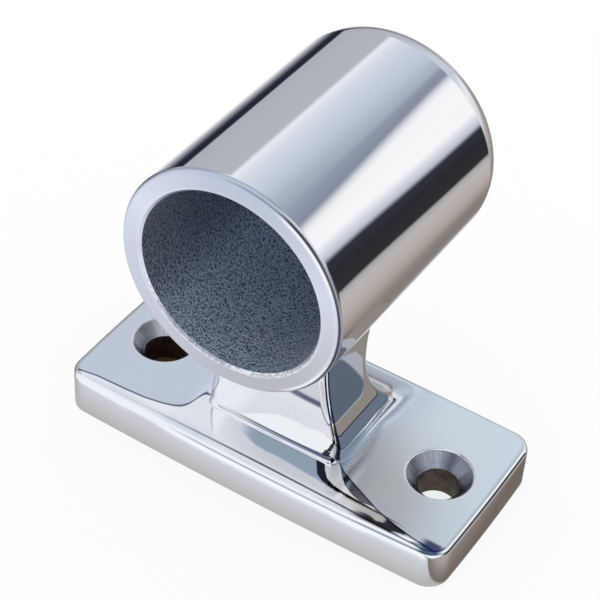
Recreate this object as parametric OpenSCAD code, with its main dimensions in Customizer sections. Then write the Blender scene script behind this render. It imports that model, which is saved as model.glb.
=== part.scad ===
// Ceiling rod flange: a one-piece polished casting. A flat plate with two countersunk screw holes
// carries a waisted neck, and the neck carries a blind socket that takes the end of a round rod.
// X runs along the plate, Y along the rod, Z up from the plate's underside. The socket opens to -Y.

/* [Rod socket] */
// Diameter of the rod that the socket takes
rod_d = 25.4; // [20:0.1:30]
// Clearance between the rod and the bore, on the diameter
rod_clearance = 0.6; // [0.2:0.1:1.5]
// Wall round the bore
wall = 3; // [2:0.1:5]
// Length of the socket, over its two ends
socket_length = 41.5; // [36:0.5:60]
// Thickness of the closed end
end_wall = 5; // [5:0.5:8]
// Height of the socket's axis over the plate's underside
axis_height = 41.8; // [38:0.1:60]
// Rounding of the closed end's outer edge
closed_edge_r = 5; // [1:0.5:6]
// Rounding of the mouth's outer edge
mouth_edge_r = 0.8; // [0.2:0.1:1.5]
// Chamfer that lets the rod start in the bore
bore_chamfer = 0.3; // [0.1:0.1:1]
// Rounding in the corner at the bottom of the bore
bore_corner_r = 1.5; // [0.5:0.5:3]

/* [Plate] */
// Length of the plate at its middle
plate_length = 61.4; // [56:0.2:90]
// Width of the plate at its middle
plate_width = 27.6; // [25:0.2:40]
// Thickness of the plate
plate_thickness = 6.5; // [4:0.1:10]
// How far each long side swells outwards
long_side_bow = 0.45; // [0.1:0.05:1]
// How far each short side swells outwards
short_side_bow = 0.22; // [0.1:0.02:0.6]
// Radius of the plate's corners, seen from above
corner_r = 3; // [2:0.5:6]
// Rounding of the plate's top edge
top_edge_r = 1; // [0.3:0.1:1.5]
// How far the plate's middle lies towards the mouth from the socket's middle
plate_forward = 2; // [0:0.5:4]

/* [Screw holes] */
// Distance between the two screw holes
hole_spacing = 45.6; // [42:0.2:60]
// Diameter of the through holes
hole_d = 5.8; // [4:0.1:6.5]
// Diameter of the countersink, where its cone ends under the rim
countersink_d = 9.4; // [8:0.1:12]
// Angle of the countersink's cone
countersink_angle = 82; // [80:1:100]
// Rounding of the countersink's rim
rim_r = 0.4; // [0.1:0.1:0.6]

/* [Neck] */
// Width of the neck at its waist
waist_width = 18; // [14:0.5:24]
// Height of the waist over the plate's underside, seen from the mouth
waist_height = 20; // [16:0.5:24]
// Radius of the sweep down each side of the neck
side_sweep_r = 34; // [24:1:60]
// Rounding between the neck's sides and the plate
foot_r = 2; // [1:0.5:3]
// Rounding between the neck's sides and the socket
shoulder_r = 3; // [1:0.5:5]
// Distance of the front face's waist from the socket's middle
front_face = 9.4; // [7:0.2:11]
// Height of that waist over the plate's underside
front_waist_height = 11; // [9:0.5:20]
// Radius of the sweep up the front face
front_sweep_r = 37.5; // [30:0.5:60]
// Depth of the neck at its waist, from the front face to the back face
neck_depth = 10.1; // [8:0.1:14]
// Radius of the sweep that runs down the back face and out over the plate
back_sweep_r = 12; // [8:0.5:14]
// Distance from the back face to where that sweep meets the plate
back_foot = 9.3; // [7:0.1:11]
// Rounding between the back face and the socket
back_shoulder_r = 5; // [2:0.5:7]

/* [Hidden] */
$fn = 96;
// Fineness of an arc of a metre's radius, which spans only a few degrees
far_fn = 2400;
// How far a cutter runs past the face that it cuts
over = 1;
// How far a rounding is moved along each axis past the surfaces that it runs into, so that it crosses them
lap = 0.01;

bore_r = (rod_d + rod_clearance) / 2;
socket_r = bore_r + wall;
bore_depth = socket_length - end_wall;
mouth_y = -socket_length / 2;
plate_y = -plate_forward;
half_length = plate_length / 2;
half_width = plate_width / 2;
// The neck runs up into the socket's wall, to this height
neck_top = axis_height - 0.65 * socket_r;
back_face = neck_depth - front_face;

// Radius of an arc that rises by bow over a half chord
function bow_radius(half_chord, bow) = (half_chord * half_chord + bow * bow) / (2 * bow);

// The meeting point, right of the line from a to b, of the circles of radius ra round a and rb round b
function circles_meet(a, ra, b, rb) =
    let (
        gap = b - a,
        span = norm(gap),
        along = (ra * ra - rb * rb + span * span) / (2 * span),
        off = sqrt(ra * ra - along * along),
        unit = gap / span
    )
    a + along * unit + off * [unit[1], -unit[0]];

// Centres of the neck's right side sweep, foot rounding and shoulder rounding, as [x, z]
sweep_centre = [waist_width / 2 + side_sweep_r, waist_height];
foot_centre = [
    sweep_centre[0] - sqrt(pow(side_sweep_r - foot_r, 2) - pow(waist_height - plate_thickness - foot_r, 2)),
    plate_thickness + foot_r
];
axis = [0, axis_height];
shoulder_centre = circles_meet(axis, socket_r + shoulder_r, sweep_centre, side_sweep_r - shoulder_r);
// Where the sweep runs into the two roundings, and the shoulder rounding into the socket
foot_touch = sweep_centre + side_sweep_r / (side_sweep_r - foot_r) * (foot_centre - sweep_centre);
shoulder_touch = sweep_centre + side_sweep_r / (side_sweep_r - shoulder_r) * (shoulder_centre - sweep_centre);
socket_touch = axis + socket_r / (socket_r + shoulder_r) * (shoulder_centre - axis);

long_side_r = bow_radius(half_length, long_side_bow);
short_side_r = bow_radius(half_width, short_side_bow);
// Centres of the front side's arc and of the right side's arc, from the plate's middle
front_side_centre = [0, long_side_r - half_width];
right_side_centre = [half_length - short_side_r, 0];
// Centre of the front right corner, from the plate's middle
corner = circles_meet(right_side_centre, short_side_r - corner_r, front_side_centre, long_side_r - corner_r);
// Directions from the corner's centre to the two points where it runs into the sides
corner_start = atan2(corner[1] - front_side_centre[1], corner[0] - front_side_centre[0]);
corner_end = atan2(corner[1] - right_side_centre[1], corner[0] - right_side_centre[0]);

// The outline of a slab whose edge lies at radius r, with the top edge rounded
module edge_profile(r, inner) {
    difference() {
        translate([inner, 0])
            square([r - inner, plate_thickness]);
        translate([r - top_edge_r, plate_thickness - top_edge_r])
            difference() {
                square(top_edge_r + over);
                circle(top_edge_r);
            }
    }
}

// One side of the plate, turned round its arc's centre, between the directions of two corners
module bowed_side(side_r, from, to) {
    rotate_extrude(angle = to - from, start = from, $fn = far_fn)
        edge_profile(side_r, side_r - 2 * corner_r);
}

// Copies its children into the four quarters of the plate
module four_quarters() {
    for (sx = [0, 1], sy = [0, 1])
        mirror([sx, 0, 0])
            mirror([0, sy, 0])
                children();
}

// The plate, round its own middle: a core, four bowed sides and four corners under one rounded edge
module plate_blank() {
    linear_extrude(height = plate_thickness)
        square([2 * corner[0], -2 * corner[1]], center = true);
    for (turn = [0, 180])
        rotate(turn) {
            translate([front_side_centre[0], front_side_centre[1], 0])
                bowed_side(long_side_r, -180 - corner_start, corner_start);
            translate([right_side_centre[0], right_side_centre[1], 0])
                bowed_side(short_side_r, corner_end, -corner_end);
        }
    four_quarters()
        translate([corner[0] + lap, corner[1] - lap, 0])
            rotate_extrude()
                edge_profile(corner_r, 0);
}

// The socket's outside, turned round the rod's axis
module socket_blank() {
    rotate([90, 0, 0])
        translate([0, 0, mouth_y])
            rotate_extrude()
                difference() {
                    square([socket_r, socket_length]);
                    translate([socket_r - closed_edge_r, closed_edge_r])
                        difference() {
                            translate([0, -closed_edge_r - over])
                                square([closed_edge_r + over, closed_edge_r + over]);
                            circle(closed_edge_r);
                        }
                    translate([socket_r - mouth_edge_r, socket_length - mouth_edge_r])
                        difference() {
                            square(mouth_edge_r + over);
                            circle(mouth_edge_r);
                        }
                }
}

// The blind bore, with a chamfered mouth and a rounded bottom corner
module bore_cut() {
    rotate([90, 0, 0])
        translate([0, 0, mouth_y + end_wall])
            rotate_extrude()
                union() {
                    translate([0, bore_corner_r])
                        square([bore_r, bore_depth - bore_corner_r + over]);
                    square([bore_r - bore_corner_r, bore_depth]);
                    translate([bore_r - bore_corner_r, bore_corner_r])
                        circle(bore_corner_r);
                    polygon([
                        [bore_r - over, bore_depth - bore_chamfer - over],
                        [bore_r, bore_depth - bore_chamfer],
                        [bore_r + bore_chamfer + over, bore_depth + over],
                        [bore_r - over, bore_depth + over]
                    ]);
                }
}

// A round cutter across the neck, along X
module cross_cutter(y, z, r) {
    translate([-socket_r - over, y, z])
        rotate([0, 90, 0])
            cylinder(r = r, h = 2 * (socket_r + over));
}

// The space in front of the neck and behind it, up to the socket's wall
module front_and_back_space() {
    back_z = plate_thickness + sqrt(pow(back_sweep_r, 2) - pow(back_sweep_r - back_foot, 2));
    shoulder_z = neck_top - back_shoulder_r;
    cross_cutter(-front_face - front_sweep_r, front_waist_height, front_sweep_r);
    cross_cutter(back_face + back_sweep_r, back_z, back_sweep_r);
    cross_cutter(back_face + back_shoulder_r, shoulder_z, back_shoulder_r);
    translate([-socket_r - over, back_face, back_z])
        cube([2 * (socket_r + over), back_sweep_r, shoulder_z - back_z]);
    translate([-socket_r - over, back_face + back_shoulder_r, shoulder_z - over])
        cube([2 * (socket_r + over), back_sweep_r, back_shoulder_r + 2 * over]);
}

// The neck between two heights, with a round cut along Y down each side
module neck_slab(low, high, half, cut_centre, cut_r) {
    difference() {
        translate([-half, mouth_y + wall, low])
            cube([2 * half, back_face + back_foot - mouth_y - wall, high - low]);
        for (side = [-1, 1])
            translate([side * cut_centre[0], 0, cut_centre[1]])
                rotate([90, 0, 0])
                    cylinder(r = cut_r, h = socket_length + 2 * over, center = true, $fn = 4 * $fn);
        front_and_back_space();
    }
}

// The neck: the sweep down its whole height, with a rounded foot and a rounded shoulder
module neck_blank() {
    neck_slab(plate_thickness / 2, neck_top, socket_r, sweep_centre, side_sweep_r);
    neck_slab(plate_thickness / 2, foot_touch[1], foot_centre[0], foot_centre - [lap, lap], foot_r);
    neck_slab(shoulder_touch[1], neck_top, socket_touch[0], shoulder_centre + [-lap, lap], shoulder_r);
}

// A screw hole with its countersink, down from the plate's top face
module screw_hole_cut() {
    countersink_r = countersink_d / 2;
    slope = countersink_angle / 2;
    cone_depth = (countersink_r - hole_d / 2) / tan(slope);
    // The rim's rounding is tangent to the top face and to the cone
    rim_out = rim_r * tan((90 - slope) / 2);
    translate([0, 0, plate_thickness])
        rotate_extrude()
            union() {
                translate([0, -plate_thickness - over])
                    square([hole_d / 2, plate_thickness + 2 * over]);
                polygon([
                    [0, over],
                    [0, -cone_depth - over],
                    [hole_d / 2 - over * tan(slope), -cone_depth - over],
                    [countersink_r, 0],
                    [countersink_r, over]
                ]);
                difference() {
                    translate([countersink_r - rim_out * sin(slope), -rim_out * cos(slope)])
                        square([rim_out * (1 + sin(slope)), rim_out * cos(slope) + over]);
                    translate([countersink_r + rim_out, -rim_r])
                        circle(rim_r);
                }
            }
}

module rod_flange() {
    color("silver")
        difference() {
            union() {
                translate([0, plate_y, 0])
                    plate_blank();
                neck_blank();
                translate([0, 0, axis_height])
                    socket_blank();
            }
            translate([0, 0, axis_height])
                bore_cut();
            for (side = [-1, 1])
                translate([side * hole_spacing / 2, plate_y, 0])
                    screw_hole_cut();
        }
}

rod_flange();
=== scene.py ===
"""A ceiling rod flange: one chromed casting, photographed from above its mouth on a white table."""

from math import cos, pi, radians, sin, sqrt, tan

import bmesh
import bpy
from mathutils import Matrix


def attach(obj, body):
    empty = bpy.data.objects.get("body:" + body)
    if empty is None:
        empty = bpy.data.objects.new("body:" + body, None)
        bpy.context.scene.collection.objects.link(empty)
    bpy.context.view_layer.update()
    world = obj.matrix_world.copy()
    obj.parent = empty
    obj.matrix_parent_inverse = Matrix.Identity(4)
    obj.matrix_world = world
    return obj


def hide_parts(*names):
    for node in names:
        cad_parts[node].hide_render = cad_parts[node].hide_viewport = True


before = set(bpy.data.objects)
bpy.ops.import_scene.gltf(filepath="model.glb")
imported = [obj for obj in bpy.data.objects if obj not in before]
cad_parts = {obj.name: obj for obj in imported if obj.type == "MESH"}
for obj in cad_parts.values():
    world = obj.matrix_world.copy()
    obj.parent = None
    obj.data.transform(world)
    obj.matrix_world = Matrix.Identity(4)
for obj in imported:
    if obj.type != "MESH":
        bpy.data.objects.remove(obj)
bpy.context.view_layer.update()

# The camera stands in front of the mouth, to its right and well above it, with a long lens that is
# slightly rolled. The whole flange fills the frame.
lens = bpy.data.cameras.new("camera")
lens.sensor_width = 36
lens.lens = 111.1
lens.clip_start = 0.01
camera = bpy.data.objects.new("camera", lens)
camera.matrix_world = (
    Matrix.Translation((0.092321, -0.160914, 0.188719))
    @ Matrix.Rotation(radians(30.356), 4, "Z")
    @ Matrix.Rotation(radians(90 - 41.539), 4, "X")
    @ Matrix.Rotation(radians(3.701), 4, "Z")
)
bpy.context.collection.objects.link(camera)
bpy.context.scene.camera = camera
bpy.context.scene.view_settings.view_transform = "Standard"


# The studio: a light tent whose cards run along the socket. The chrome mirrors them as long bands: grey
# walls, a white card, black gaps and the table. The white background itself is only what the camera sees.
class Shade:
    """A socket of a material or of the world. Arithmetic on it adds Math nodes."""

    def __init__(self, tree, socket=None):
        self.tree = tree
        self.socket = socket

    def add(self, kind, settings=(), links=(), out=0):
        """Adds one node, sets it up, fills its sockets and returns the one asked for."""
        node = self.tree.nodes.new(kind)
        for name, value in dict(settings).items():
            if name == "stops":
                elements = node.color_ramp.elements
                while len(elements) < len(value):
                    elements.new(1.0)
                for stop, (place, colour) in zip(elements, value):
                    stop.position = place
                    stop.color = (*colour, 1)
            else:
                setattr(node, name, value)
        for name, value in dict(links).items():
            if isinstance(value, Shade):
                self.tree.links.new(value.socket, node.inputs[name])
            else:
                node.inputs[name].default_value = value
        return Shade(self.tree, node.outputs[out] if len(node.outputs) else None)

    def maths(self, operation, first, second=0.0):
        return self.add("ShaderNodeMath", {"operation": operation}, {0: first, 1: second})

    def __add__(self, other):
        return self.maths("ADD", self, other)

    def __sub__(self, other):
        return self.maths("SUBTRACT", self, other)

    def __mul__(self, other):
        return self.maths("MULTIPLY", self, other)

    def __truediv__(self, other):
        return self.maths("DIVIDE", self, other)

    def __radd__(self, other):
        return self.maths("ADD", other, self)

    def __rsub__(self, other):
        return self.maths("SUBTRACT", other, self)

    def __rmul__(self, other):
        return self.maths("MULTIPLY", other, self)


def fade(value, low, high):
    """0 below low, 1 above high, and smooth between them. low may be the higher of the two."""
    return value.add(
        "ShaderNodeMapRange",
        {"interpolation_type": "SMOOTHSTEP"},
        {"Value": value, "From Min": low, "From Max": high},
    )


def split(vector):
    """The three parts of a vector."""
    node = vector.add("ShaderNodeSeparateXYZ", links={0: vector}).socket.node
    return [Shade(vector.tree, node.outputs[axis]) for axis in "XYZ"]


def blend(factor, first, second):
    """The first colour where the factor is 0, the second where it is 1."""
    return factor.add(
        "ShaderNodeMix",
        {"data_type": "RGBA"},
        {"Factor": factor, "A": first, "B": second},
        out="Result",
    )


def ramp(value, stops, first=0.0, last=1.0):
    """The colour at a value, between stops that stand from first to last."""
    places = [((place - first) / (last - first), colour) for place, colour in stops]
    share = (value - first) / (last - first)
    return value.add("ShaderNodeValToRGB", {"stops": places}, {"Fac": share})


world = bpy.data.worlds.new("studio")
bpy.context.scene.world = world
world.use_nodes = True
world.node_tree.nodes.clear()
sky = Shade(world.node_tree)
direction_x, direction_y, direction_z = split(sky.add("ShaderNodeTexCoord"))
# The angle round the socket's axis, from the right side up and over. The white card widens towards the back.
angle = sky.maths("ARCTAN2", direction_z, direction_x) * (180 / pi)
spread = 13 - fade(angle, 20, 42) * 22 + fade(angle, 66, 73) * 17
near_back = fade(angle, -90, -50) * fade(angle, 110, 80) * fade(direction_y, 0.655, 0.76)
cards = [
    (-180, (0.06, 0.07, 0.09)),
    (-176, (0.012, 0.015, 0.025)),
    (-168, (0.03, 0.035, 0.05)),
    (-160, (0.24, 0.25, 0.30)),
    (-150, (0.60, 0.61, 0.64)),
    (-140, (0.97, 0.97, 0.98)),
    (-114, (0.97, 0.97, 0.97)),
    (-104, (0.58, 0.58, 0.60)),
    (-94, (0.26, 0.24, 0.24)),
    (-80, (0.23, 0.20, 0.175)),
    (-65, (0.27, 0.235, 0.205)),
    (-52, (0.40, 0.355, 0.32)),
    (-40, (0.49, 0.44, 0.41)),
    (-27, (0.51, 0.485, 0.465)),
    (-20, (0.42, 0.41, 0.41)),
    (-17, (0.03, 0.03, 0.035)),
    (0, (0.025, 0.025, 0.03)),
    (12, (0.03, 0.035, 0.045)),
    (16, (0.52, 0.56, 0.64)),
    (22, (0.70, 0.73, 0.79)),
    (29, (0.98, 0.98, 0.99)),
    (43, (0.95, 0.95, 0.96)),
    (48, (0.72, 0.74, 0.78)),
    (53, (0.24, 0.28, 0.36)),
    (66, (0.29, 0.34, 0.43)),
    (84, (0.43, 0.49, 0.58)),
    (96, (0.55, 0.61, 0.71)),
    (116, (0.68, 0.735, 0.81)),
    (127, (0.84, 0.86, 0.91)),
    (131, (0.46, 0.48, 0.52)),
    (155, (0.47, 0.48, 0.51)),
    (179, (0.42, 0.44, 0.48)),
]
round_axis = ramp(angle + spread * near_back, cards, -180, 180)
# Past the closed end the cards stop, and the tent is soft grey and taupe
end_cards = [
    (-180, (0.05, 0.055, 0.07)),
    (-140, (0.60, 0.60, 0.62)),
    (-80, (0.25, 0.22, 0.20)),
    (-40, (0.42, 0.385, 0.36)),
    (-18, (0.50, 0.475, 0.46)),
    (-4, (0.72, 0.72, 0.75)),
    (30, (0.84, 0.85, 0.90)),
    (60, (0.55, 0.60, 0.68)),
    (90, (0.60, 0.65, 0.74)),
    (130, (0.50, 0.52, 0.55)),
    (179, (0.42, 0.44, 0.48)),
]
round_end = ramp(angle, end_cards, -180, 180)
back = blend(fade(direction_y, 0.768, 0.79), round_axis, round_end)
# Towards the mouth the tent is plain: a pale table and a grey wall above it
front_cards = [
    (0.0, (0.98, 0.98, 0.99)),
    (0.58, (0.97, 0.98, 0.99)),
    (0.61, (0.36, 0.43, 0.54)),
    (0.845, (0.30, 0.36, 0.46)),
    (0.856, (0.80, 0.86, 0.95)),
    (0.87, (0.97, 0.98, 0.99)),
    (1.0, (0.90, 0.93, 0.98)),
]
front = ramp(direction_z * 0.5 + 0.5, front_cards)
front_left = blend(fade(direction_x, -0.385, -0.43), front, (0.90, 0.92, 0.97, 1))
tent = blend(fade(direction_y, 0.1, -0.45), back, front_left)
mirrored = sky.add("ShaderNodeBackground", links={"Color": tent, "Strength": 1.0})
plain = sky.add("ShaderNodeBackground", links={"Color": (1, 1, 1, 1), "Strength": 1.0})
is_glossy = sky.add("ShaderNodeLightPath", out="Is Glossy Ray")
seen = sky.add("ShaderNodeMixShader", links={0: is_glossy, 1: plain, 2: mirrored})
sky.add("ShaderNodeOutputWorld", links={"Surface": seen})


# The table: white, close to the camera's white, with only the faint shade that the flange leaves on it.
# The chrome mirrors the tent's own table instead, so the plane hides from glossy rays.
def set_down(name, shape, *materials):
    """Makes an object of a finished shape and its materials, and puts it into the scene."""
    mesh = bpy.data.meshes.new(name)
    shape.to_mesh(mesh)
    shape.free()
    for material in materials:
        mesh.materials.append(material)
    thing = bpy.data.objects.new(name, mesh)
    bpy.context.collection.objects.link(thing)
    return thing


def bare_material(name):
    """A material without nodes, and the tree that they are added to."""
    material = bpy.data.materials.new(name)
    material.use_nodes = True
    material.node_tree.nodes.clear()
    return material, Shade(material.node_tree)


paper, sheet = bare_material("white_paper")
shaded = sheet.add("ShaderNodeBsdfDiffuse", links={"Color": (1, 1, 1, 1)})
lit = sheet.add("ShaderNodeEmission", links={"Color": (1, 1, 1, 1), "Strength": 1.0})
sheet.add(
    "ShaderNodeOutputMaterial",
    links={"Surface": sheet.add("ShaderNodeMixShader", links={0: 0.8, 1: shaded, 2: lit})},
)
table_shape = bmesh.new()
bmesh.ops.create_grid(table_shape, x_segments=1, y_segments=1, size=2.0)
table = set_down("table", table_shape, paper)
table.visible_glossy = False

# Under the left hole the table is in the dark: a painted shadow, a spot a hair narrower than the hole
SPOT_R = 0.00288
SPOT_PLACE = (-0.0228, -0.002, 0.00003)
hole_shadow_paint = bpy.data.materials.new("shaded_spot")
hole_shadow_paint.use_nodes = True
hole_shadow_shader = hole_shadow_paint.node_tree.nodes["Principled BSDF"]
hole_shadow_shader.inputs["Base Color"].default_value = (0.16, 0.075, 0.03, 1)
hole_shadow_shader.inputs["Roughness"].default_value = 1.0
spot_shape = bmesh.new()
bmesh.ops.create_circle(spot_shape, cap_ends=True, segments=48, radius=SPOT_R)
bmesh.ops.translate(spot_shape, verts=spot_shape.verts, vec=SPOT_PLACE)
set_down("dark_spot", spot_shape, hole_shadow_paint)


# The flange's own shade on the table, which only the chrome's mirror sees: lilac where the table darkens in
# front of the plate, and taupe beside its right end.
def show_to_chrome_only(thing):
    """Hides an object from all but mirrored rays."""
    for ray in ("camera", "diffuse", "transmission", "shadow", "volume_scatter"):
        setattr(thing, f"visible_{ray}", False)


FRONT_LINE_MM = -15.8
RIGHT_END_MM = 30.7
SHADE_DEPTH = -0.00005

tint, dusk = bare_material("shaded_paper")
table_x, table_y, _ = split(dusk.add("ShaderNodeTexCoord", out="Object"))
# How far a place lies in front of the plate and beside its right end, in millimetres
in_front = FRONT_LINE_MM - table_y * 1000
beside = table_x * 1000 - RIGHT_END_MM
front_shade = ramp(
    in_front / 7,
    [
        (0.0, (0.49, 0.475, 0.47)),
        (0.2, (0.56, 0.55, 0.57)),
        (0.4, (0.61, 0.61, 0.645)),
        (0.54, (0.64, 0.65, 0.70)),
        (0.61, (0.72, 0.76, 0.85)),
        (0.68, (0.97, 0.98, 1.0)),
        (1.0, (0.98, 0.98, 0.99)),
    ],
)
side_shade = ramp(
    (beside - (table_y * 1000 + 14) * 0.06) / 4,
    [
        (0.0, (0.17, 0.145, 0.12)),
        (0.5, (0.27, 0.24, 0.22)),
        (1.0, (0.40, 0.37, 0.36)),
    ],
)
is_beside = fade(beside, -0.5, 0.2)
both = blend(is_beside, front_shade, side_shade)
glow = dusk.add("ShaderNodeEmission", links={"Color": both})
clear = dusk.add("ShaderNodeBsdfTransparent")
near_front = fade(in_front, 8, 7) * fade(in_front, -28, -27)
near_front = near_front * fade(dusk.maths("ABSOLUTE", table_x), 0.06, 0.05)
near_side = is_beside * fade(beside, 5, 3.5) * fade(table_y, 0.022, 0.018)
is_near = dusk.maths("MAXIMUM", near_front, near_side)
dusk.add(
    "ShaderNodeOutputMaterial",
    links={"Surface": dusk.add("ShaderNodeMixShader", links={0: is_near, 1: clear, 2: glow})},
)
shade_shape = bmesh.new()
bmesh.ops.create_grid(shade_shape, x_segments=1, y_segments=1, size=0.1)
bmesh.ops.translate(shade_shape, verts=shade_shape.verts, vec=(0, 0, SHADE_DEPTH))
shaded_table = set_down("shaded_table", shade_shape, tint)
show_to_chrome_only(shaded_table)


# Small cards stacked beside the neck, which its polished side mirrors as bands: slate, grey, beige and slate
# again, with black gaps. Each shows only from above, and only to the chrome.
card_colours = {
    "slate": (0.107, 0.137, 0.187),
    "rim": (0.20, 0.225, 0.27),
    "grey": (0.40, 0.42, 0.47),
    "beige": (0.275, 0.247, 0.225),
    "blue": (0.14, 0.175, 0.235),
    "pale": (0.25, 0.31, 0.39),
    "black": (0.008, 0.009, 0.012),
    "white": (0.75, 0.77, 0.82),
}
TOP_CARD = 13.55
CARD_CORNER_R = 0.0009
card_numbers = {name: number for number, name in enumerate(card_colours)}
card_shape = bmesh.new()
# Each lying card has its colour, its height and its side that is turned to the neck, as places in plan
for name, height, inner_side in (
    ("slate", TOP_CARD, [(9.66, -9.5), (9.66, -1.7), (10.9, 1.2), (12.6, 2.3)]),
    ("rim", 13.47, [(9.64, -9.5), (9.64, -1.5), (10.8, 1.5), (12.6, 2.6)]),
    ("grey", 13.30, [(9.62, -9.5), (9.62, -1.4), (11.4, 2.0), (12.1, 5.0)]),
    ("beige", 11.10, [(10.22, -9.5), (10.22, 16.0)]),
    ("black", 10.90, [(10.28, -9.5), (10.28, 16.0)]),
    ("blue", 8.60, [(10.76, -9.5), (10.76, 16.0)]),
    ("black", 8.45, [(10.78, -9.5), (10.78, 16.0)]),
):
    outer_x = 30 - (TOP_CARD - height) * 1.5
    outer_side = [(outer_x, inner_side[0][1]), (outer_x, inner_side[-1][1])]
    outline = outer_side + inner_side[::-1]
    rim = [card_shape.verts.new((x / 1000, y / 1000, height / 1000)) for x, y in outline]
    card_shape.faces.new(rim).material_index = card_numbers[name]
    if len(inner_side) > 2:
        bmesh.ops.bevel(
            card_shape,
            geom=rim[3:-1],
            offset=CARD_CORNER_R,
            segments=8,
            profile=0.5,
            affect="VERTICES",
            material=-1,
        )
# Three more stand upright and face the neck: one lights its foot, two draw the line down its front corner
for name, x, side_on in (
    ("pale", 16.2, [(4, 7), (-12, 7), (-12, 17), (0, 17), (3.0, 10)]),
    ("black", 12.0, [(-10.6, 6.6), (-24, 6.6), (-12.5, 26), (-10.6, 26)]),
    ("white", 12.0, [(-9.0, 6.6), (-10.6, 6.6), (-10.6, 26), (-9.0, 26)]),
):
    rim = [card_shape.verts.new((x / 1000, y / 1000, z / 1000)) for y, z in side_on]
    card_shape.faces.new(rim).material_index = card_numbers[name]
card_materials = []
for name, colour in card_colours.items():
    card, board = bare_material(f"{name}_card")
    from_below = board.add("ShaderNodeNewGeometry", out="Backfacing")
    paint = board.add("ShaderNodeEmission", links={"Color": (*colour, 1)})
    nothing = board.add("ShaderNodeBsdfTransparent")
    one_sided = board.add("ShaderNodeMixShader", links={0: from_below, 1: paint, 2: nothing})
    board.add("ShaderNodeOutputMaterial", links={"Surface": one_sided})
    card_materials.append(card)
small_cards = set_down("small_cards", card_shape, *card_materials)
show_to_chrome_only(small_cards)


# The socket: a thick round cup that takes the rod's end. It is cast closed at the back, turned flat at the
# mouth, and plated. The outside is polished, the ring round the mouth is brushed and the bore is left rough.
SHARP_FROM = radians(40)


def finish_piece(name, shape, *materials):
    """Makes an object of a finished shape, smooth but for its sharp edges."""
    bmesh.ops.recalc_face_normals(shape, faces=shape.faces)
    for face in shape.faces:
        face.smooth = True
    for edge in shape.edges:
        edge.smooth = edge.calc_face_angle(0) < SHARP_FROM
    piece = set_down(name, shape, *materials)
    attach(piece, "root")
    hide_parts("rod_flange")
    return piece


CHROME = (0.94, 0.945, 0.955, 1)


def metal(name, roughness=0.03):
    """A chrome finish, and the shader that its own colour, roughness or normal is linked into."""
    material = bpy.data.materials.new(name)
    material.use_nodes = True
    shader = material.node_tree.nodes["Principled BSDF"]
    shader.inputs["Metallic"].default_value = 1.0
    shader.inputs["Base Color"].default_value = CHROME
    shader.inputs["Roughness"].default_value = roughness
    return material, shader


def feed(shader, **values):
    """Links values into a shader's inputs. An underscore in a name stands for a space."""
    for name, value in values.items():
        value.tree.links.new(value.socket, shader.inputs[name.replace("_", " ")])


def bump(height, strength, distance):
    """A normal tilted by a height."""
    return height.add("ShaderNodeBump", links={"Strength": strength, "Distance": distance, "Height": height})


ROD_AXIS = 0.0418
SOCKET_R = 0.016
BORE_R = 0.013
MOUTH = -0.02075
CLOSED_END = 0.02075
BORE_END = 0.01575
BORE_CHAMFER = 0.0003
CLOSED_END_R = 0.005
MOUTH_R = 0.0008
BORE_END_R = 0.0015
RING_DEPTH = 0.0006

polished, _ = metal("polished_chrome")
brushed, brushed_shader = metal("brushed_ring", 0.32)
cast, cast_shader = metal("rough_bore", 0.5)

socket = bmesh.new()
half_section = [
    socket.verts.new((radius, y, 0))
    for radius, y in (
        (0, CLOSED_END),
        (SOCKET_R, CLOSED_END),
        (SOCKET_R, MOUTH),
        (BORE_R + BORE_CHAMFER, MOUTH),
        (BORE_R, MOUTH + BORE_CHAMFER),
        (BORE_R, BORE_END),
        (0, BORE_END),
    )
]
outline = [socket.edges.new(pair) for pair in zip(half_section, half_section[1:])]
bmesh.ops.spin(
    socket, geom=half_section + outline, axis=(0, 1, 0), angle=2 * pi, steps=192, use_merge=True
)
bmesh.ops.remove_doubles(socket, verts=socket.verts, dist=1e-7)


def round_ring(shape, radius, y, offset, segments):
    """Rounds the edge that runs round the socket's axis at this radius and place along it."""
    ring = [
        edge
        for edge in shape.edges
        if all(
            abs(sqrt(v.co.x**2 + v.co.z**2) - radius) < 1e-6 and abs(v.co.y - y) < 1e-6 for v in edge.verts
        )
    ]
    bmesh.ops.bevel(
        shape, geom=ring, offset=offset, segments=segments, profile=0.5, affect="EDGES", material=-1
    )


round_ring(socket, SOCKET_R, CLOSED_END, CLOSED_END_R, 20)
round_ring(socket, SOCKET_R, MOUTH, MOUTH_R, 8)
round_ring(socket, BORE_R, BORE_END, BORE_END_R, 8)
for face in socket.faces:
    centre = face.calc_center_median()
    from_axis = sqrt(centre.x**2 + centre.z**2)
    if centre.y < MOUTH + RING_DEPTH:
        face.material_index = 1
    elif from_axis < BORE_R + 1e-5 and centre.y < BORE_END + 1e-6:
        face.material_index = 2
bmesh.ops.translate(socket, verts=socket.verts, vec=(0, 0, ROD_AXIS))
socket_piece = finish_piece("socket", socket, polished, brushed, cast)


def noise(place, scale, detail):
    """A noise pattern: its value, about 0.5."""
    settings = {"Vector": place, "Scale": scale, "Detail": detail}
    return place.add("ShaderNodeTexNoise", links=settings, out="Fac")
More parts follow.
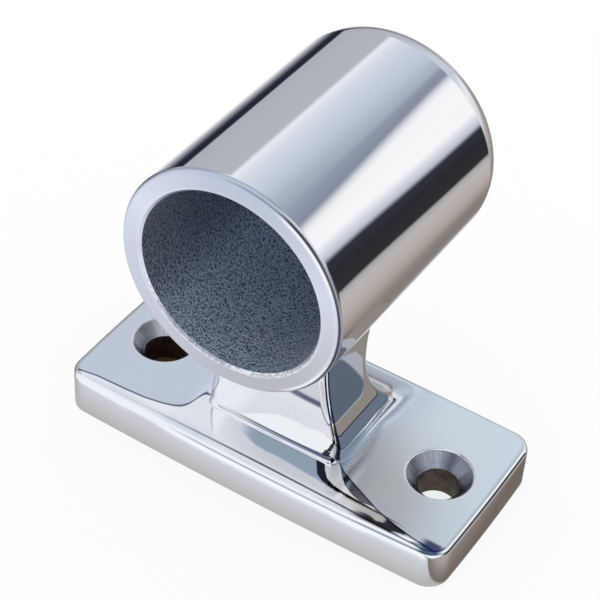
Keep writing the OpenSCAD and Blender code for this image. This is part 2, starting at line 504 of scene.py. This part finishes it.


# The ring is brushed in one slanting direction. Light and shade are painted round it into its colour: bluish
# above, a little darker at its foot.
brush = Shade(brushed.node_tree)
ring_place = brush.add("ShaderNodeTexCoord", out="Object")
ring_x, _, ring_z = split(ring_place)
up_ring = ring_z - ROD_AXIS
ring_painted_light_and_shade = ramp(
    brush.maths("ARCTAN2", up_ring, ring_x) / (2 * pi) + 0.5,
    [
        (0.0, (0.66, 0.71, 0.81)),
        (0.14, (0.62, 0.64, 0.71)),
        (0.25, (0.53, 0.54, 0.585)),
        (0.36, (0.52, 0.525, 0.56)),
        (0.46, (0.60, 0.62, 0.68)),
        (0.56, (0.70, 0.75, 0.85)),
        (0.68, (0.56, 0.615, 0.72)),
        (0.78, (0.58, 0.63, 0.74)),
        (0.92, (0.78, 0.82, 0.92)),
        (1.0, (0.68, 0.73, 0.83)),
    ],
)
slanted = brush.add(
    "ShaderNodeMapping",
    links={"Vector": ring_place, "Rotation": (0, radians(-52), 0), "Scale": (260.0, 1.0, 9000.0)},
)
streaks = noise(slanted, 1.0, 3.0)
# Its inner edge carries a painted highlight, ragged low down where the tool broke out of the casting's skin
from_centre = brush.maths("SQRT", ring_x * ring_x + up_ring * up_ring)
nicks = noise(ring_place, 2200.0, 2.0)
ragged_edge_highlight = fade(from_centre, 0.0137, 0.0133) * fade(up_ring, 0.001, -0.008) * fade(nicks, 0.42, 0.55)
inner_edge_highlight = fade(from_centre, 0.01385, 0.0132) * 0.2 + ragged_edge_highlight * 0.7
brushed_and_highlit_tone = blend(inner_edge_highlight + fade(streaks, 0.62, 0.8) * 0.12, ring_painted_light_and_shade, (0.96, 0.97, 0.99, 1))
# Its outer rounding carries a painted highlight on the right, with a thin painted dark reflection line in it
rim_right = fade(ring_x, 0.0055, 0.0085) * fade(up_ring, -0.0135, -0.0115)
rim_painted_highlight = fade(from_centre, 0.0150, 0.0155) * rim_right * fade(ring_x, 0.0165, 0.0125)
rim_painted_dark_line = fade(from_centre, 0.01558, 0.01564) * fade(from_centre, 0.01590, 0.01582) * rim_right
lit_tone = blend(rim_painted_highlight, brushed_and_highlit_tone, (1.0, 1.0, 1.0, 1))
rim_tone = blend(rim_painted_dark_line * 0.9, lit_tone, (0.02, 0.03, 0.06, 1))
feed(brushed_shader, Base_Color=rim_tone, Normal=bump(streaks, 0.35, 0.000006))

# The bore keeps the skin of the sand it was cast in: fine grain with bright grains in it. Its left wall is
# painted darker, as painted shade.
sand = Shade(cast.node_tree)
bore_place = sand.add("ShaderNodeTexCoord", out="Object")
grains = noise(bore_place, 3100.0, 3.0) * 0.6 + noise(bore_place, 6500.0, 2.0) * 0.4
bore_tone = ramp(
    grains,
    [
        (0.0, (0.09, 0.105, 0.135)),
        (0.40, (0.18, 0.21, 0.27)),
        (0.49, (0.60, 0.69, 0.84)),
        (0.57, (0.92, 0.97, 1.0)),
    ],
)
bore_x, _, _ = split(bore_place)
bore_with_painted_shade = blend(fade(bore_x, -0.0085, -0.0125) * 0.42, bore_tone, (0.02, 0.022, 0.03, 1))
feed(cast_shader, Base_Color=bore_with_painted_shade, Normal=bump(grains, 1.0, 0.00028))
flat_ring = socket_piece.modifiers.new("flat ring", "WEIGHTED_NORMAL")
flat_ring.weight = 100
flat_ring.keep_sharp = True


# The plate: a thick bar end with gently bowed sides, soft corners and a rounded top edge. It is drilled and
# countersunk for two screws. Its top is satin, but in front of the neck the polishing wheel has worn a
# bright dished apron that rolls off over the front edge.
PLATE_Y = -0.002
PLATE_TOP = 0.0065
HALF_LENGTH = 0.0307
HALF_WIDTH = 0.0138
CORNER_R = 0.003
LONG_BOW = 0.00045
SHORT_BOW = 0.00022
FULL_BOW_X = 0.02
FULL_BOW_Y = 0.009
EDGE_R = 0.001
ROLL_OFF = 0.0014
HOLES_X = 0.0228
HOLE_R = 0.0029
CONE_R = 0.0047
RIM_R = 0.0004
CONE_SLOPE = radians(41)

plate = bmesh.new()
corner_x = HALF_LENGTH - SHORT_BOW
corner_y = HALF_WIDTH - LONG_BOW
bmesh.ops.create_grid(plate, x_segments=1, y_segments=1, size=1)
bmesh.ops.scale(plate, verts=plate.verts, vec=(corner_x, corner_y, 1))
bmesh.ops.bevel(
    plate, geom=plate.verts[:], offset=CORNER_R, segments=16, profile=0.5, affect="VERTICES", material=-1
)
straights = [edge for edge in plate.edges if edge.calc_length() > 0.01]
bmesh.ops.subdivide_edges(plate, edges=straights, cuts=64)
for vert in plate.verts:
    x, y, _ = vert.co
    vert.co.x += SHORT_BOW * (1 - (y / corner_y) ** 2) * max(-1, min(1, x / FULL_BOW_X))
    vert.co.y += LONG_BOW * (1 - (x / corner_x) ** 2) * max(-1, min(1, y / FULL_BOW_Y))
walls = bmesh.ops.extrude_face_region(plate, geom=plate.faces[:])
raised = [part for part in walls["geom"] if isinstance(part, bmesh.types.BMVert)]
bmesh.ops.translate(plate, verts=raised, vec=(0, 0, PLATE_TOP))
top_edges = [edge for edge in plate.edges if all(v.co.z > PLATE_TOP - 1e-6 for v in edge.verts)]
bmesh.ops.bevel(
    plate, geom=top_edges, offset=EDGE_R, segments=24, profile=0.5, affect="EDGES", material=-1
)
caps = [face for face in plate.faces if len(face.verts) > 4]
bmesh.ops.inset_individual(plate, faces=caps, thickness=0.00004)
bmesh.ops.delete(plate, geom=caps, context="FACES_ONLY")
# The front edge's rounding grows wider towards the middle, where the apron rolls off
straight_end = corner_x - CORNER_R
for vert in plate.verts:
    x, y, z = vert.co
    front_line = -corner_y - LONG_BOW * (1 - (x / corner_x) ** 2)
    depth = y - front_line
    if z > PLATE_TOP - EDGE_R - 1e-6 and depth < EDGE_R + 0.0001 and abs(x) < straight_end:
        ease = 1 - (x / straight_end) ** 2
        vert.co.y += ROLL_OFF * ease * min(1, max(0, depth) / EDGE_R)

# Each countersink's half section, from the flat top over the rounded rim, down the cone and the hole
rim_out = CONE_R + RIM_R * tan((pi / 2 - CONE_SLOPE) / 2)
cone_bottom = PLATE_TOP - (CONE_R - HOLE_R) / tan(CONE_SLOPE)
rim_arc = [
    (rim_out - RIM_R * sin(turn), PLATE_TOP - RIM_R + RIM_R * cos(turn))
    for turn in (step / 6 * (pi / 2 - CONE_SLOPE) for step in range(7))
]
half_hole = [(rim_out + 0.00004, PLATE_TOP), *rim_arc, (HOLE_R, cone_bottom), (HOLE_R, 0)]
for side in (-1, 1):
    section = [plate.verts.new((radius, 0, z)) for radius, z in half_hole]
    wall = [plate.edges.new(pair) for pair in zip(section, section[1:])]
    bmesh.ops.spin(plate, geom=section + wall, axis=(0, 0, 1), angle=2 * pi, steps=128, use_merge=True)
    hole = {v for v in plate.verts if v.co.x**2 + v.co.y**2 < (rim_out + 5e-5) ** 2}
    for face in plate.faces:
        if all(v in hole for v in face.verts):
            height = face.calc_center_median().z
            if height > PLATE_TOP - RIM_R * (1 - sin(CONE_SLOPE)):
                face.material_index = 3 if height < PLATE_TOP - 1e-6 else 0
            else:
                face.material_index = 1 if height > cone_bottom else 2
    bmesh.ops.translate(plate, verts=list(hole), vec=(side * HOLES_X, 0, 0))
bmesh.ops.remove_doubles(plate, verts=plate.verts, dist=1e-7)
for height in (0, PLATE_TOP):
    rim = [
        edge
        for edge in plate.edges
        if edge.is_boundary and all(abs(v.co.z - height) < 1e-6 for v in edge.verts)
    ]
    bmesh.ops.triangle_fill(plate, use_beauty=True, edges=rim)
bmesh.ops.translate(plate, verts=plate.verts, vec=(0, PLATE_Y, 0))

# The plate's top: a crease bounds the apron. In front of it the chrome is a mirror, behind it satin.
plate_top, plate_top_shader = metal("plate_top")
top = Shade(plate_top.node_tree)
place = top.add("ShaderNodeTexCoord", out="Object")
top_x, top_y, top_z = split(place)
x_mm = top_x * 1000
y_mm = top_y * 1000
on_top = fade(top_z, 0.0063, 0.00643)
crease = [
    (-32, -14.6),
    (-29, -14.1),
    (-26, -13.6),
    (-21, -13.42),
    (-18, -13.2),
    (-15.5, -12.7),
    (-13.9, -12.15),
    (-13.1, -11.6),
    (-12.6, -10.9),
    (-12.3, -10.1),
    (-12.1, -9.0),
    (-11.9, -7.5),
    (10.6, -7.9),
    (11.1, -8.5),
    (12.3, -9.32),
    (15.0, -10.56),
    (18.0, -11.9),
    (19.2, -12.45),
    (20.6, -12.85),
    (22.8, -13.45),
    (26, -14.05),
    (29, -14.3),
    (32, -14.6),
]
# Where the crease runs steeply, a step in Y is a shorter step away from it
steepness = [
    (-32, 1.0),
    (-15.5, 0.9),
    (-13.9, 0.7),
    (-13.1, 0.5),
    (-12.6, 0.35),
    (-12.1, 0.2),
    (-11.8, 0.2),
    (-11.0, 0.9),
]


def traced(along, points, first, last, lowest, highest):
    """The height of a line drawn through points, at each place along it."""
    rise = highest - lowest
    shades = [(at, [(height - lowest) / rise] * 3) for at, height in points]
    return ramp(along, shades, first, last) * rise + lowest


gap = y_mm - traced(x_mm, crease, -32, 32, -15, -5)
behind = gap * traced(x_mm, steepness, -32, 32, 0, 1)
pad = fade(behind, -0.06, 0.06) * on_top
buffed = pad * fade(top.maths("ABSOLUTE", x_mm), 11.2, 13.5)
grain = top.add(
    "ShaderNodeTexNoise", links={"Vector": place, "Scale": 9000.0, "Detail": 3.0, "Roughness": 0.6}
)
# The pad is painted blue-grey, lighter towards the right: a painted reflection
pad_painted_reflection = blend(fade(top_x, 0.010, 0.019), (0.78, 0.83, 0.89, 1), (0.94, 0.99, 1.0, 1))
tone = blend(pad, CHROME, pad_painted_reflection)

# Right of the neck the apron's reflection of its corner is painted in: a black band, a white one and a dark
# wedge along the crease.
# Each line gives the X at which a band begins, for Y, and the last one how deep the wedge is, for X.
black_from = traced(
    y_mm,
    [(-13.0, 16), (-12.65, 11.98), (-12.35, 10.53), (-11.66, 9.3), (-10.46, 8.46), (-8.9, 7.4)],
    first=-13.5,
    last=-8.5,
    lowest=0,
    highest=32,
)
white_from = traced(
    y_mm,
    [(-13.0, 24), (-12.41, 14.19), (-12.11, 12.12), (-11.5, 10.79), (-10.42, 9.79), (-8.9, 8.8)],
    first=-13.5,
    last=-8.5,
    lowest=0,
    highest=32,
)
wedge_depth = traced(
    x_mm,
    [(10.9, 0), (12.3, 0.83), (13.5, 1.41), (15.1, 1.52), (16.7, 1.29), (18.8, 0.05)],
    first=10,
    last=20,
    lowest=0,
    highest=2,
)
ahead_of_neck = fade(top_y, -0.0080, -0.0086) * on_top
in_black = fade(x_mm - black_from, -0.12, 0.12)
in_white = fade(x_mm - white_from, -0.12, 0.12)
in_wedge = fade(gap + wedge_depth, -0.06, 0.06)
black_band = in_black * fade(in_white, 1, 0) * fade(top_y, -0.0132, -0.0128) * ahead_of_neck
white_band = in_white * fade(in_wedge, 1, 0) * fade(gap, 0.0, -0.1) * fade(top_x, 0.0205, 0.0190)
white_band = white_band * ahead_of_neck
wedge = in_wedge * fade(gap, -0.02, -0.10) * fade(top_x, 0.0108, 0.0111) * fade(top_x, 0.0195, 0.0188)

# Outside the neck's mirrored front the apron is painted plain white as a painted reflection, down to where
# it rolls off
front_ends = traced(
    x_mm,
    [
        (-6, -9.3),
        (-4.6, -10.1),
        (-2.7, -11.19),
        (-0.6, -11.93),
        (1.7, -12.09),
        (4.2, -12.06),
        (7.15, -12.34),
        (9.7, -12.48),
        (11.7, -12.75),
        (14, -13.0),
        (18, -13.3),
    ],
    first=-12,
    last=20,
    lowest=-16,
    highest=-8,
)
rolled = fade(y_mm - front_ends, 0.2, -0.2) * fade(top_z, 0.0058, 0.0060)
rolled = rolled * fade(top_x, -0.0085, -0.0045) * fade(top_x, 0.019, 0.015)
painted_white = top.maths("MAXIMUM", white_band, rolled)

# The crease is a painted dark reflection line. Another painted dark line follows the front edge, stronger to
# the right, and ends in a painted dark blot.
crease_line = fade(behind, -0.30, -0.10) * fade(behind, 0.12, -0.02) * on_top
at_front = fade(top_y, -0.0128, -0.0134)
edge_line = at_front * fade(top_z, 0.00636, 0.00639) * fade(top_z, 0.00645, 0.00642)
edge_line = edge_line * fade(top_x, -0.024, 0.004)
painted_dark_blot = at_front * fade(top_z, 0.0060, 0.0062) * fade(top_x, 0.0262, 0.0278) * fade(top_x, 0.0300, 0.0292)
tone = blend(wedge * 0.9, tone, (0.17, 0.21, 0.28, 1))
tone = blend(painted_white, tone, (0.97, 0.98, 1.0, 1))
tone = blend(black_band * 0.97, tone, (0.01, 0.013, 0.025, 1))
tone = blend((crease_line + edge_line + painted_dark_blot) * 0.92, tone, (0.025, 0.05, 0.14, 1))
dullness = buffed * (0.22 + grain * 0.06) + pad * 0.06 + wedge * 0.09 + painted_white * 0.2 + 0.03
feed(plate_top_shader, Base_Color=tone, Roughness=dullness, Metallic=1 - painted_white * 0.6)

# The apron is dished: it falls away from a line in front of the neck. The satin has a fine grain.
hollow = top.maths("MINIMUM", y_mm + 9.0, 0.0) * fade(top_x, -0.020, -0.0125) * fade(top_x, 0.020, 0.014)
dish = hollow * -0.000044 + grain * pad * 0.0000004
feed(plate_top_shader, Normal=bump(dish, 1.0, 1.0))

# The cones keep the tool's rings. The light that the rings fan out in rays is painted into the colour as
# highlights. The drilled holes below are dark.
turned, turned_shader = metal("turned_countersink", 0.17)
cone = Shade(turned.node_tree)
cone_x, cone_y, cone_z = split(cone.add("ShaderNodeTexCoord", out="Object"))
off_x = cone.maths("ABSOLUTE", cone_x) - HOLES_X
to_side = cone_x.maths("SIGN", cone_x)
off_y = cone_y - PLATE_Y
ray = cone.maths("ARCTAN2", off_y, off_x * to_side) / (2 * pi) + 0.5
painted_fans = ramp(
    ray,
    [
        (0.00, (0.20, 0.22, 0.26)),
        (0.10, (0.70, 0.72, 0.76)),
        (0.22, (0.30, 0.32, 0.38)),
        (0.34, (0.50, 0.54, 0.62)),
        (0.44, (1.00, 1.00, 1.00)),
        (0.52, (0.24, 0.26, 0.31)),
        (0.66, (0.60, 0.62, 0.68)),
        (0.76, (0.24, 0.26, 0.32)),
        (0.84, (1.00, 1.00, 1.00)),
        (0.91, (0.60, 0.62, 0.66)),
        (1.00, (0.20, 0.22, 0.26)),
    ],
)


def lines(measure):
    """A noise pattern along one measure, which runs as lines across it."""
    return measure.add("ShaderNodeTexNoise", {"noise_dimensions": "1D"}, {"W": measure, "Detail": 2.0}, "Fac")


# Fine dark lines run out along the rays across the painted fans
radial_lines = lines(ray * 70)
fans_with_lines = blend(fade(radial_lines, 0.58, 0.40) * 0.75, painted_fans, (0.06, 0.065, 0.085, 1))
rings = lines(cone_z * 12000)
feed(turned_shader, Base_Color=fans_with_lines, Normal=bump(rings, 0.5, 0.00002))

drilled, drilled_shader = metal("drilled_hole", 0.5)
bare = Shade(drilled.node_tree)
# The hole walls are a mottled dark brown
brown_mottling = noise(bare.add("ShaderNodeTexCoord", out="Object"), 700.0, 2.0)
mottled_hole_tone = blend(brown_mottling, (0.03, 0.02, 0.013, 1), (0.30, 0.26, 0.22, 1))
feed(drilled_shader, Base_Color=mottled_hole_tone)
finish_piece("plate", plate, plate_top, turned, drilled, polished)


# The neck: a waisted column, cast with the rest and polished, with four crisp edges. Its sides sweep in and
# out, its front leans out to the socket, and its back runs down into a thin flare over the plate.
WAIST = 0.009
WAIST_HEIGHT = 0.020
SIDE_SWEEP = 0.034
STEADY_FROM = 0.010
STEADY_AT = 0.0084
FOOT_R = 0.0009
REAR_FOOT_R = 0.0018
REAR_FOOT_FROM = 0.009
REAR_FOOT_OVER = 0.006
FOOT_TAPER = 0.0035
FRONT_FACE = -0.0089
FRONT_WAIST_HEIGHT = 0.0068
FRONT_SWEEP = 0.0625
FRONT_BOW = 0.0003
FRONT_JUNCTION = 0.0006
CORNER_JUNCTION = 0.0010
BACK_FACE = 0.0012
BACK_SWEEP = 0.012
BACK_SWEEP_HEIGHT = 0.01819
SHOULDER_R = 0.005
SHOULDER_HEIGHT = 0.0264
FRONT_CORNER_R = 0.0009
FRONT_CORNER_FOOT_R = 0.0018
CORNER_GROWS_BELOW = 0.0135
CORNER_GROWS_OVER = 0.007
BACK_CORNER_R = 0.0020
NECK_TOP = 0.0292
INSIDE_WALL_R = 0.0145
LOW_STEP = 0.00014
LOW_STEPS = 24
HIGH_STEPS = 44


def eased(share):
    """A share held between 0 and 1, with soft ends."""
    share = min(1, max(0, share))
    return share * share * (3 - 2 * share)


def half_width(z, behind_front):
    """Half the neck's width: a long arc that steadies low down, with a foot rounding behind the front."""
    drop = WAIST_HEIGHT - max(z, STEADY_FROM)
    arc = WAIST + SIDE_SWEEP - sqrt(SIDE_SWEEP**2 - drop**2)
    steadying = STEADY_FROM - STEADY_AT
    lower = min(steadying, max(0, STEADY_FROM - z))
    arc += drop / SIDE_SWEEP * (lower - lower**2 / (2 * steadying))
    foot_r = FOOT_R + (REAR_FOOT_R - FOOT_R) * eased((behind_front - REAR_FOOT_FROM) / REAR_FOOT_OVER)
    below = min(foot_r, max(0, PLATE_TOP + foot_r - z))
    return arc + (foot_r - sqrt(foot_r**2 - below**2)) * eased(behind_front / FOOT_TAPER)


def front_face(z, across):
    """Where the front lies: an arc that leans out to the socket, with a small rounding at the plate."""
    junction = FRONT_JUNCTION + (CORNER_JUNCTION - FRONT_JUNCTION) * abs(across) ** 4
    below = junction - max(0, z - PLATE_TOP)
    rounding = junction - sqrt(junction**2 - below**2) if below > 0 else 0
    leaning = FRONT_SWEEP - sqrt(FRONT_SWEEP**2 - (z - FRONT_WAIST_HEIGHT) ** 2)
    return FRONT_FACE - leaning - rounding + FRONT_BOW * across**2


def back_face(z):
    """Where the back lies: a tight arc up from its flare, a flat, and a rounding back under the socket."""
    low = max(0, BACK_SWEEP_HEIGHT - max(z, PLATE_TOP))
    high = max(0, z - SHOULDER_HEIGHT)
    sweep = BACK_SWEEP - sqrt(max(0, BACK_SWEEP**2 - low**2))
    shoulder = SHOULDER_R - sqrt(max(0, SHOULDER_R**2 - high**2))
    return BACK_FACE + sweep + shoulder


# The neck's levels lie close together at its foot
foot_levels = [PLATE_TOP + FOOT_R * (1 - cos(radians(5 * step))) for step in range(19)]
low_levels = [foot_levels[-1] + LOW_STEP * (step + 1) for step in range(LOW_STEPS)]
step_up = (NECK_TOP - low_levels[-1]) / HIGH_STEPS
high_levels = [low_levels[-1] + step_up * (step + 1) for step in range(HIGH_STEPS)]
levels = [PLATE_TOP - 0.001, *foot_levels, *low_levels, *high_levels]

neck = bmesh.new()
bmesh.ops.create_grid(neck, x_segments=40, y_segments=32, size=1)
level = neck.faces[:]
for step in range(len(levels) - 1):
    grown = bmesh.ops.extrude_face_region(neck, geom=level)
    lifted = [part for part in grown["geom"] if isinstance(part, bmesh.types.BMVert)]
    bmesh.ops.translate(neck, verts=lifted, vec=(0, 0, 1))
    if step:
        bmesh.ops.delete(neck, geom=level, context="FACES")
    level = [part for part in grown["geom"] if isinstance(part, bmesh.types.BMFace)]
for vert in neck.verts:
    across, along, up = vert.co
    # The columns of points stand closer together towards the four corners
    across = sin(across * pi / 2)
    along = sin(along * pi / 2)
    z = levels[round(up)]
    # The top follows the inside of the socket's wall
    x = across * half_width(z, 1)
    wall_z = ROD_AXIS - sqrt(max(0, INSIDE_WALL_R**2 - x * x))
    z += (wall_z - NECK_TOP) * ((z - PLATE_TOP) / (NECK_TOP - PLATE_TOP)) ** 2
    front_y = front_face(z, across)
    back_y = back_face(z)
    y = front_y + (along + 1) / 2 * (back_y - front_y)
    x = across * half_width(z, y - FRONT_FACE)
    # Each corner is rounded: what lies outside the arc is drawn in to it
    if along < 0:
        growth = min(1, max(0, (CORNER_GROWS_BELOW - z) / CORNER_GROWS_OVER))
        corner_r = FRONT_CORNER_R + (FRONT_CORNER_FOOT_R - FRONT_CORNER_R) * growth
        corner_y = front_face(z, 1) + corner_r
        edge_y = front_y
    else:
        corner_r = BACK_CORNER_R
        corner_y = back_y - corner_r
        edge_y = back_y
    from_x = abs(x) - half_width(z, edge_y - FRONT_FACE) + corner_r
    from_y = y - corner_y
    outside = sqrt(from_x**2 + from_y**2)
    if from_x > 0 and from_y * along > 0 and outside > corner_r:
        x -= (from_x - from_x * corner_r / outside) * (1 if x > 0 else -1)
        y = corner_y + from_y * corner_r / outside
    vert.co = (x, y, z)
bmesh.ops.recalc_face_normals(neck, faces=neck.faces)

# The neck is polished down to the roundings at its foot, which are satin like the plate and painted the same
# blue-grey as the pad, a painted reflection. A painted dark reflection line runs along the foot of its front.
neck_skin, neck_shader = metal("polished_neck")
skin = Shade(neck_skin.node_tree)
neck_x, neck_y, neck_z = split(skin.add("ShaderNodeTexCoord", out="Object"))
satin_foot_painted_tint = fade(neck_z, 0.0078, 0.0070) * fade(neck_y, -0.0085, -0.0070)
foot_painted_line = fade(neck_z, 0.0066, 0.0069) * fade(neck_z, 0.0073, 0.0070) * fade(neck_y, -0.0080, -0.0086)
foot_painted_reflection = blend(satin_foot_painted_tint, CHROME, (0.78, 0.83, 0.89, 1))
lined_tone = blend(foot_painted_line * fade(neck_x, -0.013, 0.008) * 0.9, foot_painted_reflection, (0.05, 0.08, 0.16, 1))
# A painted dark reflection line runs down the front corner on the right, wider towards the foot
up_neck = neck_z * 1000
from_front = neck_y * 1000 + 8.6 + (up_neck - 6.8) * (up_neck - 6.8) / 125
off_line = skin.maths("ABSOLUTE", from_front - 0.52) - fade(up_neck, 14.5, 6.5) * 0.16
corner_line = fade(off_line, 0.15, 0.07) * fade(neck_x, 0.006, 0.007)
cornered = blend(corner_line * fade(up_neck, 6.6, 6.9) * 0.96, lined_tone, (0.01, 0.013, 0.025, 1))
feed(neck_shader, Base_Color=cornered, Roughness=satin_foot_painted_tint * 0.25 + 0.03)
finish_piece("neck", neck, neck_skin)
